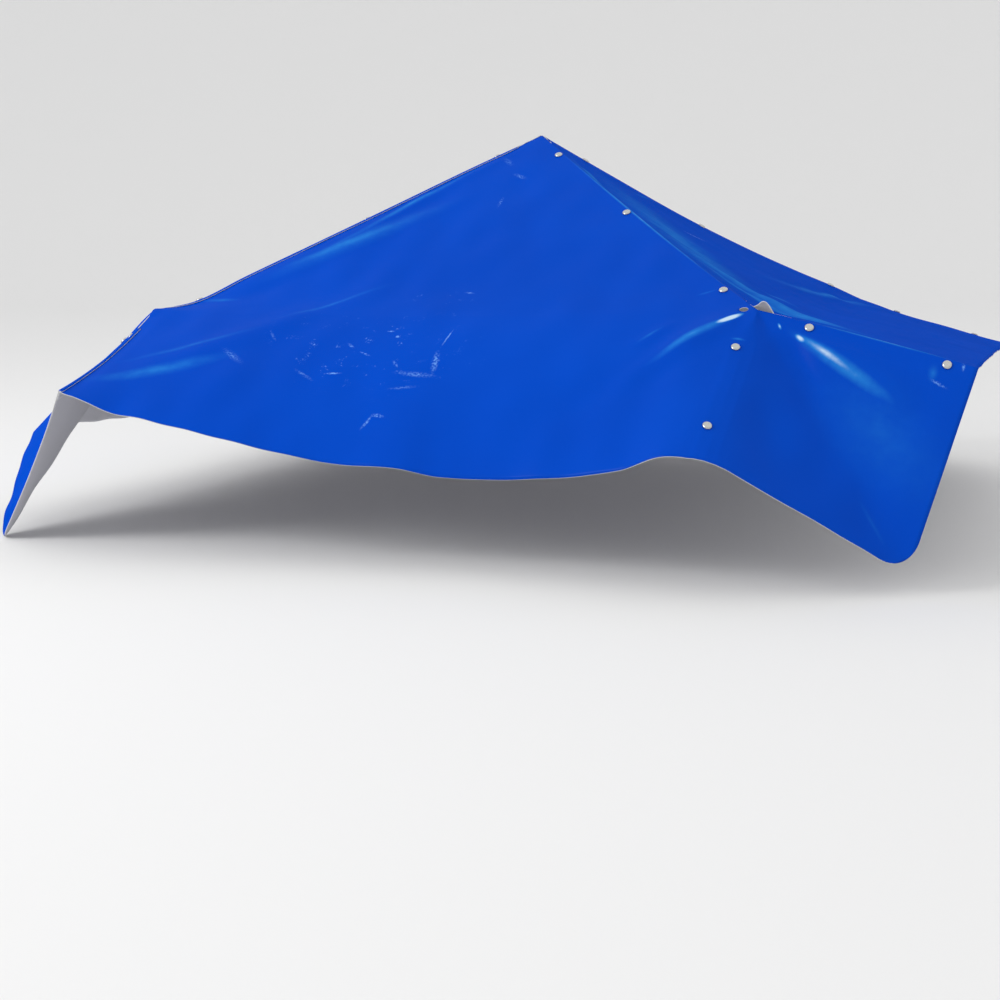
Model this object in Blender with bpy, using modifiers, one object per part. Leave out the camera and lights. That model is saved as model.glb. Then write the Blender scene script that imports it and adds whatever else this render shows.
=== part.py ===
"""Pyramid sun and rain cover for an evaporative cooler, sewn from coated cloth.

Four like panels make the cover. Each one is a roof triangle, a flap below its
eave and a square gusset at its right end, all cut in one piece. Along each hip
and each flap seam a panel laps over its neighbour and is held by press studs.
The cover is modelled as it hangs: apex and four pole tips high, flaps and
gussets drooping between them. Metres, +Z up, origin at the apex.
"""
import math
from collections import namedtuple

import bmesh
import bpy
from mathutils import Matrix, Vector
from mathutils.bvhtree import BVHTree

# Driving sizes of the cover
TIP_OUT = 0.55          # apex axis to a pole tip, along x and along y
RISE = 0.32             # pole tips to apex
FLAP = 0.35             # depth of a flap, and side of a square gusset
CLOTH = 0.0012          # thickness of the coated cloth
ROOF_SLACK = 0.008      # sag of a roof panel at the middle of its eave
APEX_SHARE = 0.008      # where a panel's point is cut off, as a share of its hip
CORNER_ROUND = 0.15     # rounding of a gusset's outer corner, as a share of FLAP

# Laps, measured along a panel's row
PLY_GAP = 0.0004        # air between two plies of a lap
EDGE_GAP = 0.0020       # air between two free edges where a lap stands open
UNDER_LAP = 0.028       # the neighbour's margin under the hip
SEAM_LAP_SHARE = 0.05   # the neighbour's margin under a gusset, as a share of FLAP
OVER_LAP = 0.007        # the top panel's edge past the hip
STEP_NEAR = 0.012       # the lower ply stays down as far as this from the hip
STEP_FAR = 0.030        # and is back at the top ply's level here
FULL_LAP_WIDTH = 0.12   # rows narrower than this have their laps scaled down

# Press studs
CAP_RADIUS = 0.0075
CAP_HEIGHT = 0.0034
SHANK_RADIUS = 0.0024
HOLE_RADIUS = 0.0030
BASE_RADIUS = 0.0055
BASE_HEIGHT = 0.0010
SEAT_GAP = 0.0004
STUD_SIDES = 8
STUD_INSET = 0.013      # stud centre to its hip, along the row, or to its fold line
SEAM_INSET = 0.0105     # stud centre to its flap seam
HIP_STUDS = (0.13, 0.48, 0.90)
SEAM_STUDS = (0.25, 0.87)
FOLD_STUDS = (0.27, 0.80)

# Grid lines of a panel
ROOF_ROWS = (APEX_SHARE, 0.03, 0.07, 0.13, 0.24, 0.36, 0.50, 0.64, 0.78, 0.88, 0.955, 1.0)
FLAP_ROWS = (0.0, 0.05, 0.10, 0.20, 0.35, 0.50, 0.67, 0.84, 0.93, 1.0)
MIDDLE_COLUMNS = 9
HIP_LAP = (0.07, 0.955)     # first and last roof row that is lapped
SEAM_LAP = (0.20, 1.0)      # first and last flap row that is lapped
MOUTH_ROW = 0.05            # flap row where the open lap by the pole tip arches up

CLOTH_BLUE = (0.005, 0.070, 0.560, 1.0)
STUD_SILVER = (0.78, 0.78, 0.76, 1.0)

SIDES = ("front", "right", "back", "left")
CORNERS = ("front_right", "back_right", "back_left", "front_left")

# A flap at one station: share along the eave, slope below level at the eave
# and at the hem in degrees, depth, and how far the hem is drawn to the right.
Station = namedtuple("Station", "share eave hem depth drift")
STATIONS = {
    "front": (
        Station(0.00, 27, 12, FLAP, 0.021),
        Station(0.10, 24, 27, FLAP, 0.010),
        Station(0.20, 23, 35, FLAP, 0.004),
        Station(0.32, 27, 42, FLAP, 0.000),
        Station(0.45, 30, 50, FLAP, 0.000),
        Station(0.54, 31, 50, FLAP, 0.000),
        Station(0.60, 31, 57, FLAP, 0.000),
        Station(0.75, 31, 56, FLAP, 0.000),
        Station(0.87, 30, 49, FLAP, -0.004),
        Station(0.94, 31, 38, FLAP, -0.010),
        Station(1.00, 34, 36, FLAP, -0.012),
    ),
    "right": (
        Station(0.00, 12, 15, FLAP, -0.006),
        Station(0.25, 10, 15, 0.344, -0.006),
        Station(0.50, 11, 15, 0.336, -0.008),
        Station(0.75, 13, 16, 0.330, -0.012),
        Station(1.00, 18, 13, 0.323, -0.020),
    ),
    "back": (
        Station(0.00, 12, 22, FLAP, 0.050),
        Station(0.20, 22, 36, FLAP, 0.020),
        Station(0.50, 31, 50, FLAP, 0.000),
        Station(0.80, 30, 46, FLAP, -0.006),
        Station(1.00, 28, 40, FLAP, -0.010),
    ),
    "left": (
        Station(0.00, 30, 44, FLAP, 0.010),
        Station(0.30, 34, 50, FLAP, 0.000),
        Station(0.70, 34, 49, FLAP, 0.000),
        Station(1.00, 36, 43, FLAP, -0.002),
    ),
}

# A hip: how far its pole tip stands above the common level, and how far the
# cloth sags below a straight line at five shares of the way down.
Hip = namedtuple("Hip", "tip_lift sag_20 sag_42 sag_62 sag_78 sag_90")
HIPS = {
    "front_right": Hip(0.010, 0.003, 0.005, 0.006, 0.005, 0.003),
    "back_right": Hip(-0.012, 0.009, 0.017, 0.016, 0.010, 0.003),
    "back_left": Hip(0.000, 0.006, 0.011, 0.014, 0.013, 0.006),
    "front_left": Hip(-0.007, 0.002, 0.007, 0.011, 0.014, 0.018),
}
HIP_SAG_SHARES = (0.20, 0.42, 0.62, 0.78, 0.90)

# A gusset's outer corner, measured from its pole tip: out past the eave of the
# panel it is cut with, out past the next panel's eave, and down. Then how soft
# its diagonal fold is, and how high the open lap by the pole tip arches up.
Gusset = namedtuple("Gusset", "own_out next_out drop softness mouth")
GUSSETS = {
    "front_right": Gusset(0.184, 0.268, 0.373, 0.010, 0.014),
    "back_right": Gusset(0.140, 0.250, 0.248, 0.020, 0.004),
    "back_left": Gusset(0.215, 0.225, 0.370, 0.015, 0.005),
    "front_left": Gusset(0.172, 0.253, 0.402, 0.002, 0.004),
}

# Soft ridges raised in the cloth, from one point to another. On a panel the
# points are along from its left pole tip and down from its eave; on a gusset
# they are shares down its fold line and along its seam.
Ridge = namedtuple("Ridge", "sheet start end height width")
PANEL_RIDGES = (
    Ridge("front", (1.085, 0.015), (0.86, 0.16), 0.009, 0.030),
    Ridge("front", (1.03, 0.075), (0.80, 0.25), -0.006, 0.035),
    Ridge("front", (0.03, 0.27), (0.42, -0.10), 0.006, 0.035),
    Ridge("front", (0.64, 0.34), (0.60, 0.10), -0.004, 0.030),
    Ridge("right", (0.04, -0.02), (0.45, 0.02), 0.006, 0.040),
    Ridge("back", (0.30, 0.32), (0.36, 0.02), -0.006, 0.050),
    Ridge("left", (0.62, 0.32), (0.58, 0.02), -0.006, 0.050),
)
GUSSET_RIDGES = (
    Ridge("front_right", (0.06, 0.16), (0.34, 0.72), 0.012, 0.10),
    Ridge("front_right", (0.50, 0.15), (0.95, 0.40), -0.006, 0.14),
    Ridge("back_left", (0.15, 0.40), (0.40, 0.90), 0.010, 0.12),
)


def mix(low, high, share):
    return low + (high - low) * share


def smooth_through(rows, at):
    """Value at `at` on the smooth curve through (position, value) rows."""
    last = len(rows) - 1
    i = next((n for n in range(last) if at <= rows[n + 1][0]), last - 1)

    def tangent(n):
        before, after = rows[max(n - 1, 0)], rows[min(n + 1, last)]
        return (after[1] - before[1]) / (after[0] - before[0])

    (x0, y0), (x1, y1) = rows[i], rows[i + 1]
    step = x1 - x0
    t = min(max((at - x0) / step, 0.0), 1.0)
    bend = t * (1 - t) * ((1 - t) * (tangent(i) * step) - t * (tangent(i + 1) * step))
    return y0 + (y1 - y0) * t * t * (3 - 2 * t) + bend


def turned(side, along, out, height):
    """A point given along a side and out from the axis, in the cover's frame."""
    quarter = Matrix.Rotation(math.pi / 2 * side, 3, "Z")
    return quarter @ Vector((along, -out, height))


def pole_tip(corner):
    lift = HIPS[CORNERS[corner % 4]].tip_lift
    return turned(corner, TIP_OUT, TIP_OUT, -RISE + lift)


def hip_point(corner, share):
    """A point on the hip above a pole tip, from the apex (0) to the tip (1)."""
    row = HIPS[CORNERS[corner % 4]]
    sags = [(0.0, 0.0), *zip(HIP_SAG_SHARES, row[1:]), (1.0, 0.0)]
    return pole_tip(corner) * share - Vector((0, 0, smooth_through(sags, share)))


def station(side, share):
    rows = STATIONS[SIDES[side % 4]]
    values = []
    for column in range(1, len(Station._fields)):
        values.append(smooth_through([(row.share, row[column]) for row in rows], share))
    return Station(share, *values)


def row_width(level):
    return 2 * TIP_OUT * min(level, 1.0)


def flat_panel_point(side, along, level):
    """A panel without its ridges. Level runs 0 to 1 down the roof, 1 to 2 down the flap."""
    roof = min(level, 1.0)
    share = along / row_width(level)
    point = hip_point(side - 1, roof).lerp(hip_point(side, roof), share)
    point.z -= ROOF_SLACK * 4 * share * (1 - share) * roof ** 2
    if level > 1:
        down = level - 1
        row = station(side, share)
        first, turn = math.radians(row.eave), math.radians(row.hem - row.eave) or 1e-6
        out = row.depth * (math.sin(first + turn * down) - math.sin(first)) / turn
        drop = row.depth * (math.cos(first) - math.cos(first + turn * down)) / turn
        point += turned(side, row.drift * down, out, -drop)
    return point


def ridge_height(ridge, x, y):
    """Height of a soft ridge at (x, y): round across, faded out at both ends."""
    start, end = Vector(ridge.start), Vector(ridge.end)
    run = end - start
    share = (Vector((x, y)) - start).dot(run) / run.length_squared
    nearest = start + run * min(max(share, 0.0), 1.0)
    away = (Vector((x, y)) - nearest).length / ridge.width
    fade = math.sin(math.pi * min(max(share * 0.8 + 0.1, 0.0), 1.0))
    return ridge.height * fade * math.exp(-away * away)


def surface_normal(place, u, v, du, dv):
    """Outward normal of place(u, v); the steps du and dv point into the sheet."""
    here = place(u, v)
    across = (place(u + du, v) - here) * math.copysign(1, du)
    down = (place(u, v + dv) - here) * math.copysign(1, dv)
    return down.cross(across).normalized()


def inward_step(value, low, high, size):
    return size if value < (low + high) / 2 else -size


def panel_point(side, along, level):
    """A panel's outer face, as it hangs."""
    raised = [ridge for ridge in PANEL_RIDGES if ridge.sheet == SIDES[side % 4]]
    down = (level - 1) * (FLAP if level > 1 else math.hypot(TIP_OUT, RISE))
    centred = along + TIP_OUT - row_width(level) / 2
    edge = min(along, row_width(level) - along) / STEP_FAR
    height = sum(ridge_height(ridge, centred, down) for ridge in raised) * min(max(edge, 0.0), 1.0)
    point = flat_panel_point(side, along, level)
    if abs(height) > 1e-6:
        point += height * panel_normal(side, along, level)
    return point


def panel_normal(side, along, level):
    du = inward_step(along, 0, row_width(level), 0.002 * min(level, 1.0))
    dv = -0.004 if level > 1.5 or 0.5 < level <= 1 else 0.004
    return surface_normal(lambda u, v: flat_panel_point(side, u, v), along, level, du, dv)


def flat_gusset_point(corner, down, along):
    """A gusset without its ridges, folded in along the diagonal from its pole tip."""
    tip = pole_tip(corner)
    row = GUSSETS[CORNERS[corner % 4]]
    outer = turned(corner, TIP_OUT + row.next_out, TIP_OUT + row.own_out, tip.z - row.drop)
    spread = math.sqrt((down - along) ** 2 + 4 * row.softness * down * along * (1 - down * along))
    on_fold = (spread + down - along) / 2
    on_seam = (spread - down + along) / 2
    on_crease = (down + along - spread) / 2
    fold_line = flat_panel_point(corner, row_width(1), 1 + on_fold)
    seam_line = flat_panel_point(corner + 1, 0, 1 + on_seam)
    return fold_line + seam_line - tip + (outer - tip) * on_crease


def rounded(down, along):
    """Pull the far corner of the square gusset back onto its rounding."""
    past = Vector((down, along)) - Vector((1, 1)) * (1 - CORNER_ROUND)
    if min(past) > 0 and past.length > CORNER_ROUND:
        past *= CORNER_ROUND / past.length
        return past + Vector((1, 1)) * (1 - CORNER_ROUND)
    return Vector((down, along))


def gusset_normal(corner, down, along):
    place = lambda u, v: flat_gusset_point(corner, v, u)
    du, dv = (inward_step(value, 0, 1, 0.01) for value in (along, down))
    return surface_normal(place, along, down, du, dv)


def gusset_point(corner, down, along):
    """A gusset's outer face: down its fold line and along its seam, both 0 to 1."""
    down, along = rounded(down, along)
    raised = [ridge for ridge in GUSSET_RIDGES if ridge.sheet == CORNERS[corner % 4]]
    edge = min(1.0, down / 0.1, along / 0.1)
    height = edge * sum(ridge_height(ridge, down, along) for ridge in raised)
    point = flat_gusset_point(corner, down, along)
    if abs(height) > 1e-6:
        point += height * gusset_normal(corner, down, along)
    return point


def lap_scale(level):
    return min(1.0, row_width(level) / FULL_LAP_WIDTH)


def edge_gap(level):
    return min(EDGE_GAP, 0.8 * STEP_NEAR * lap_scale(level))


def is_lapped(level):
    if level > 1:
        return SEAM_LAP[0] <= level - 1 + 1e-6
    return HIP_LAP[0] - 1e-6 <= level <= HIP_LAP[1] + 1e-6


def ridge_line_normals(corner, level):
    """Outward normals of the top panel and of its neighbour where they meet."""
    if level > 1:
        top = gusset_normal(corner, 0, level - 1)
    else:
        top = panel_normal(corner, row_width(level), level)
    return top, panel_normal(corner + 1, 0, level)


def lowered(point, normal):
    """A point of the lower ply, under a point of the top one."""
    return point - normal * (CLOTH + PLY_GAP)


def left_edge_point(side, level):
    """The lower ply's first grid column: under the hip, or clear of it where open."""
    if is_lapped(level):
        top, under = ridge_line_normals(side - 1, level)
        mitre = (top + under) / (1 + top.dot(under))
        return lowered(panel_point(side, 0, level), mitre)
    along = edge_gap(level)
    return panel_point(side, along, level) + mouth_lift(side, level)


def mouth_lift(side, level):
    """How far a panel's free left edge arches up beside its pole tip."""
    row = GUSSETS[CORNERS[(side - 1) % 4]]
    at_mouth = abs(level - 1 - MOUTH_ROW) < 1e-6
    return Vector((0, 0, row.mouth if at_mouth else 0.0))


def columns(level):
    """Distances of a row's grid columns from its left hip."""
    width, scale = row_width(level), lap_scale(level)
    first, last = STEP_FAR * scale, width - UNDER_LAP * scale
    middle = [mix(first, last, n / MIDDLE_COLUMNS) for n in range(MIDDLE_COLUMNS + 1)]
    return [0.0, STEP_NEAR * scale, *middle, width]


def main_point(side, column, level):
    """A vertex of the roof and flap grid."""
    if column == 0:
        return left_edge_point(side, level)
    along = columns(level)[column]
    if column == len(columns(level)) - 1 and level < HIP_LAP[0]:
        along -= edge_gap(level)
    point = panel_point(side, along, level)
    if column == 1 and is_lapped(level):
        point = lowered(point, panel_normal(side, along, level))
    if column == 1:
        point += mouth_lift(side, level) / 2
    return point


def add_grid(mesh, across, down, place):
    """A grid whose vertices go to place(column, row), rows running down.

    Every square is split along the same diagonal, so two plies lie parallel.
    """
    spans_across, spans_down = len(across) - 1, len(down) - 1
    made = bmesh.ops.create_grid(mesh, x_segments=spans_across, y_segments=spans_down, size=1)
    for vertex in made["verts"]:
        column = round((vertex.co.x + 1) / 2 * spans_across)
        row = round((1 - vertex.co.y) / 2 * spans_down)
        vertex.co = place(across[column], down[row])
    faces = list({face for vertex in made["verts"] for face in vertex.link_faces})
    faces.sort(key=lambda face: face.index)
    bmesh.ops.triangulate(mesh, faces=faces, quad_method="FIXED")


def lap_rows(rows, limits):
    return [row for row in rows if limits[0] - 1e-6 <= row <= limits[1] + 1e-6]


def hip_margin_point(side, column, level):
    """The lower ply's margin, which lies under the neighbour's roof."""
    if column == 1:
        return left_edge_point(side, level)
    along = row_width(level) - UNDER_LAP * lap_scale(level)
    return lowered(panel_point(side - 1, along, level), panel_normal(side - 1, along, level))


def seam_margin_point(side, row, share):
    """The lower ply's margin, which lies under the neighbour's gusset."""
    if row == 0:
        return left_edge_point(side, 1 + share)
    point = gusset_point(side - 1, SEAM_LAP_SHARE, share)
    return lowered(point, gusset_normal(side - 1, SEAM_LAP_SHARE, share))


def hip_edge_point(side, column, level):
    """The top ply's edge past the hip, lying on the neighbour's roof."""
    if column == 0:
        return main_point(side, len(columns(level)) - 1, level)
    return panel_point(side + 1, OVER_LAP * lap_scale(level), level)


def seam_edge_point(side, column, share):
    """The gusset's edge past its seam, lying on the neighbour's flap."""
    if column == 0:
        return gusset_point(side, 0, share)
    return panel_point(side + 1, OVER_LAP, 1 + share)


def panel_mesh(side):
    """A panel's outer face as one open sheet."""
    mesh = bmesh.new()
    levels = [*ROOF_ROWS, *(1 + share for share in FLAP_ROWS[1:])]
    column_numbers = range(len(columns(1.0)))
    add_grid(mesh, column_numbers, levels, lambda u, v: main_point(side, u, v))
    add_grid(mesh, FLAP_ROWS, FLAP_ROWS, lambda u, v: gusset_point(side, v, u))
    hip_rows, seam_rows = lap_rows(ROOF_ROWS, HIP_LAP), lap_rows(FLAP_ROWS, SEAM_LAP)
    add_grid(mesh, (0, 1), hip_rows, lambda u, v: hip_margin_point(side, u, v))
    add_grid(mesh, seam_rows, (0, 1), lambda u, v: seam_margin_point(side, v, u))
    add_grid(mesh, (0, 1), hip_rows, lambda u, v: hip_edge_point(side, u, v))
    add_grid(mesh, (0, 1), seam_rows, lambda u, v: seam_edge_point(side, u, v))
    bmesh.ops.remove_doubles(mesh, verts=mesh.verts, dist=0.00002)
    return mesh


def plain_material(name, colour, roughness, metallic):
    material = bpy.data.materials.new(name)
    material.use_nodes = True
    shader = material.node_tree.nodes["Principled BSDF"]
    shader.inputs["Base Color"].default_value = colour
    shader.inputs["Roughness"].default_value = roughness
    shader.inputs["Metallic"].default_value = metallic
    return material


def new_object(name, mesh, collection, material=None):
    data = bpy.data.meshes.new(name)
    mesh.to_mesh(data)
    mesh.free()
    made = bpy.data.objects.new(name, data)
    collection.objects.link(made)
    if material:
        data.materials.append(material)
    return made


def stud_mesh(plies):
    """A press stud turned about Z, its cap's seat at z = 0 and its shank below."""
    depth = plies * CLOTH + (plies - 1) * PLY_GAP + 2 * SEAT_GAP
    profile = (
        (0.0, CAP_HEIGHT),
        (CAP_RADIUS * 0.62, CAP_HEIGHT * 0.78),
        (CAP_RADIUS, CAP_HEIGHT * 0.25),
        (CAP_RADIUS * 0.93, 0.0),
        (SHANK_RADIUS, 0.0),
        (SHANK_RADIUS, -depth),
        (BASE_RADIUS, -depth),
        (BASE_RADIUS * 0.9, -depth - BASE_HEIGHT),
        (0.0, -depth - BASE_HEIGHT),
    )
    mesh = bmesh.new()
    verts = [mesh.verts.new((radius, 0, height)) for radius, height in profile]
    edges = [mesh.edges.new(pair) for pair in zip(verts, verts[1:])]
    bmesh.ops.spin(mesh, geom=verts + edges, cent=(0, 0, 0), axis=(0, 0, 1),
                   angle=math.tau, steps=STUD_SIDES, use_merge=True)
    bmesh.ops.remove_doubles(mesh, verts=mesh.verts, dist=0.00002)
    bmesh.ops.recalc_face_normals(mesh, faces=mesh.faces)
    return mesh


# A stud's place: its name, its nominal point on the top panel, and how many
# plies it holds together.
Stud = namedtuple("Stud", "name point plies")


def stud_places(corner):
    """The seven studs around one pole tip."""
    name = CORNERS[corner]
    places = []
    for number, share in enumerate(HIP_STUDS, 1):
        inset = STUD_INSET * lap_scale(share)
        point = panel_point(corner, row_width(share) - inset, share)
        places.append(Stud(f"stud_{name}_hip_{number}", point, 2))
    for number, share in enumerate(SEAM_STUDS, 1):
        point = gusset_point(corner, SEAM_INSET / FLAP, share)
        places.append(Stud(f"stud_{name}_seam_{number}", point, 2))
    for number, share in enumerate(FOLD_STUDS, 1):
        point = panel_point(corner, row_width(1) - STUD_INSET, 1 + share)
        places.append(Stud(f"stud_{name}_fold_{number}", point, 1))
    return places


def seated(place, cloth):
    """A stud's frame: standing square on the facet of cloth under its nominal point."""
    point, normal, _, _ = cloth.find_nearest(place.point)
    turn = normal.to_track_quat("Z", "Y").to_matrix().to_4x4()
    return Matrix.Translation(point + normal * SEAT_GAP) @ turn


def add_cutter(mesh, frame):
    """A drill for one stud's hole."""
    made = bmesh.ops.create_cone(mesh, cap_ends=True, segments=STUD_SIDES,
                                 radius1=HOLE_RADIUS, radius2=HOLE_RADIUS, depth=0.016)
    bmesh.ops.transform(mesh, matrix=frame, verts=made["verts"])


def cut_holes(panel, frames, cutters):
    """Drill the panel where studs pass through it."""
    mesh = bmesh.new()
    for frame in frames:
        add_cutter(mesh, frame)
    drill = new_object(f"{panel.name}_holes", mesh, cutters)
    drill.hide_render = True
    drill.display_type = "WIRE"
    cut = panel.modifiers.new("stud holes", "BOOLEAN")
    cut.operation = "DIFFERENCE"
    cut.solver = "EXACT"
    cut.object = drill


def main():
    for old in list(bpy.data.objects):
        bpy.data.objects.remove(old)
    cover = bpy.data.collections.new("evaporative_cooler_cover")
    cutters = bpy.data.collections.new("cutters")
    for collection in (cover, cutters):
        bpy.context.scene.collection.children.link(collection)

    panels, trees = [], []
    for side, name in enumerate(SIDES):
        mesh = panel_mesh(side)
        trees.append(BVHTree.FromBMesh(mesh))
        material = plain_material(f"{name}_cloth", CLOTH_BLUE, 0.35, 0.0)
        panel = new_object(f"{name}_panel", mesh, cover, material)
        wall = panel.modifiers.new("cloth thickness", "SOLIDIFY")
        wall.thickness = CLOTH
        wall.offset = -1
        panels.append(panel)

    silver = plain_material("stud_silver", STUD_SILVER, 0.3, 1.0)
    holes = {side: [] for side in range(4)}
    shared = {}
    for plies in (1, 2):
        mesh = stud_mesh(plies)
        data = bpy.data.meshes.new(f"stud_{plies}_ply")
        mesh.to_mesh(data)
        mesh.free()
        data.materials.append(silver)
        data.shade_smooth()
        data.set_sharp_from_angle(angle=math.radians(40))
        shared[plies] = data
    for corner in range(4):
        for place in stud_places(corner):
            frame = seated(place, trees[corner])
            stud = bpy.data.objects.new(place.name, shared[place.plies])
            cover.objects.link(stud)
            stud.matrix_world = frame
            holes[corner].append(frame)
            if place.plies == 2:
                holes[(corner + 1) % 4].append(frame)
    for side, panel in enumerate(panels):
        cut_holes(panel, holes[side], cutters)


main()
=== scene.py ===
# %% [markdown]
# # A blue pyramid sun cover
#
# The cover is a low pyramid of PVC-coated tarpaulin: four like panels, lapped
# along their hips and closed with press studs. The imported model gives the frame,
# and this lesson builds the finished cloth and studs in the same place.

# %% Load the frame
import math
from collections import namedtuple

import bmesh
import bpy
import numpy as np
from mathutils import Matrix, Vector
from mathutils.bvhtree import BVHTree


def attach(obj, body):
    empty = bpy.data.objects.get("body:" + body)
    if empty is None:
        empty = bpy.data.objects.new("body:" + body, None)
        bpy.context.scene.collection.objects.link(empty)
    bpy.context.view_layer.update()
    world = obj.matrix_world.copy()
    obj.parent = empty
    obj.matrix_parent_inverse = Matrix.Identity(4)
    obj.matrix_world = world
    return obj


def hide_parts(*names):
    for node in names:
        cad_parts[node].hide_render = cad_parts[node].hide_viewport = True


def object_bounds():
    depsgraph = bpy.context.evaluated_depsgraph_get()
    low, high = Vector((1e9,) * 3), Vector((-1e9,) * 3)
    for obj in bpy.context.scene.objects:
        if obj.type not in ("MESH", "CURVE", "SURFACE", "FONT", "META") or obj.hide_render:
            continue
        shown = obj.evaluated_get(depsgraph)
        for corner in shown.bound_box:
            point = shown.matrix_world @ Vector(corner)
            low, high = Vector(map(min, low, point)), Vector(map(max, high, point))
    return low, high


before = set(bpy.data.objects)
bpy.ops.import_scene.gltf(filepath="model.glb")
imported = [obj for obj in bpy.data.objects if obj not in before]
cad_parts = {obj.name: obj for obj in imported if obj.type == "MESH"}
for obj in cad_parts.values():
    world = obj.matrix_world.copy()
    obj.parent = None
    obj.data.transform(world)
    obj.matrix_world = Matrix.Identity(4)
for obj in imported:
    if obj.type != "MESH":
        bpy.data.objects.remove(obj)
cad_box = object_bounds()
print("frame:", [tuple(round(x, 3) for x in corner) for corner in cad_box])

# %% [markdown]
# ## Camera
#
# The camera stands a little right of the front panel and looks slightly down.
# Its place was solved from straight edges in the photo, so it is given as a
# place, a turn to the left and a tilt, with no target object to drift from.

# %% Camera
CAMERA_AT = (1.086, -3.1507, -0.1929)
CAMERA_TURN = 20.44     # degrees to the left of straight ahead
CAMERA_TILT = 9.11      # degrees below level
LENS = 59.6             # mm on a 36 mm sensor

camera = bpy.data.objects.new("camera", bpy.data.cameras.new("camera"))
bpy.context.collection.objects.link(camera)
camera.data.lens = LENS
camera.data.sensor_width = 36
camera.location = CAMERA_AT
camera.rotation_euler = (math.radians(90 - CAMERA_TILT), 0, math.radians(CAMERA_TURN))
bpy.context.scene.camera = camera
print("camera at", CAMERA_AT, "with", LENS, "mm")

# %% [markdown]
# ## The sizes that shape the cloth
#
# Cloth that is held at a few points takes the shape its cut allows. So the cover
# is described the way it is cut and hung: where the corner tips stand, how far the
# hips sag, and how each flap bends down at a few stations along its eave.
# Smooth curves join those stations, which keeps the tables short.

# %% Sizes
TIP_OUT = 0.55          # apex axis to a corner tip, along x and along y
RISE = 0.32             # corner tips to apex
FLAP = 0.35             # depth of a flap, and side of a square gusset
CLOTH = 0.0012          # thickness of the coated cloth
ROOF_SLACK = 0.008      # sag of a roof panel at the middle of its eave
EAVE_SOFT = 0.09        # how far the bend at the eave spreads up and down
FOLD_SOFT = 0.035       # and the fold between flap and gusset to both sides
APEX_SHARE = 0.003      # where a panel's point is cut off, as a share of its hip
CORNER_ROUND = 0.15     # rounding of a gusset's outer corner, as a share of FLAP
SLANT = math.hypot(TIP_OUT, RISE)

PLY_GAP = 0.0004        # air between two plies of a lap
EDGE_GAP = 0.0020       # air between two free edges where a lap stands open
UNDER_LAP = 0.028       # the neighbour's margin under the hip
SEAM_LAP_SHARE = 0.05   # the neighbour's margin under a gusset, as a share of FLAP
OVER_LAP = 0.007        # the top panel's edge past the hip
STEP_NEAR = 0.012       # the lower ply stays down as far as this from the hip
STEP_FAR = 0.030        # and is back at the top ply's level here
FULL_LAP_WIDTH = 0.12   # rows narrower than this have their laps scaled down
HIP_LAP = (0.07, 0.955)     # the stretch of a hip that is lapped
SEAM_LAP = (0.20, 1.0)      # the stretch of a flap seam that is lapped
HIP_OPEN = 0.975            # from here to the corner tip a hip's lap is open
APEX_FADE, SEAM_FADE = 0.02, 0.05   # how quickly the other ends of a lap open

SIDES = ("front", "right", "back", "left")
CORNERS = ("front_right", "back_right", "back_left", "front_left")

Station = namedtuple("Station", "share eave hem depth drift")
STATIONS = {
    "front": (
        Station(0.00, 27, 12, FLAP, 0.021),
        Station(0.10, 24, 27, FLAP, 0.010),
        Station(0.20, 23, 35, FLAP, 0.004),
        Station(0.32, 27, 42, FLAP, 0.000),
        Station(0.45, 30, 50, FLAP, 0.000),
        Station(0.54, 31, 50, FLAP, 0.000),
        Station(0.60, 31, 57, FLAP, 0.000),
        Station(0.75, 31, 56, FLAP, 0.000),
        Station(0.87, 30, 49, FLAP, -0.004),
        Station(0.94, 31, 38, FLAP, -0.010),
        Station(1.00, 34, 36, FLAP, -0.012),
    ),
    "right": (
        Station(0.00, 12, 15, FLAP, -0.006),
        Station(0.25, 10, 15, 0.344, -0.006),
        Station(0.50, 11, 15, 0.336, -0.008),
        Station(0.75, 13, 16, 0.330, -0.012),
        Station(1.00, 18, 13, 0.323, -0.020),
    ),
    "back": (
        Station(0.00, 12, 22, FLAP, 0.050),
        Station(0.20, 22, 36, FLAP, 0.020),
        Station(0.50, 31, 50, FLAP, 0.000),
        Station(0.80, 30, 46, FLAP, -0.006),
        Station(1.00, 28, 40, FLAP, -0.010),
    ),
    "left": (
        Station(0.00, 30, 44, FLAP, 0.010),
        Station(0.30, 34, 50, FLAP, 0.000),
        Station(0.70, 34, 49, FLAP, 0.000),
        Station(1.00, 36, 43, FLAP, -0.002),
    ),
}

Hip = namedtuple("Hip", "tip_lift sag_20 sag_42 sag_62 sag_78 sag_90")
HIPS = {
    "front_right": Hip(0.010, 0.003, 0.005, 0.006, 0.005, 0.003),
    "back_right": Hip(-0.012, 0.009, 0.017, 0.016, 0.010, 0.003),
    "back_left": Hip(0.000, 0.006, 0.011, 0.014, 0.013, 0.006),
    "front_left": Hip(-0.007, 0.002, 0.007, 0.011, 0.014, 0.018),
}
HIP_SAG_SHARES = (0.20, 0.42, 0.62, 0.78, 0.90)

# A gusset's outer corner, from its corner tip: out past its own panel's eave, out
# past the next panel's eave, and down. Then how soft its diagonal fold is, and
# how high the open lap by the corner tip arches up.
Gusset = namedtuple("Gusset", "own_out next_out drop softness mouth")
GUSSETS = {
    "front_right": Gusset(0.184, 0.268, 0.373, 0.010, 0.016),
    "back_right": Gusset(0.140, 0.250, 0.248, 0.020, 0.004),
    "back_left": Gusset(0.215, 0.225, 0.370, 0.015, 0.005),
    "front_left": Gusset(0.172, 0.253, 0.402, 0.002, 0.004),
}
print("a panel is cut", round(2 * TIP_OUT + FLAP, 3), "by", round(SLANT + FLAP, 3), "m")

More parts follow.
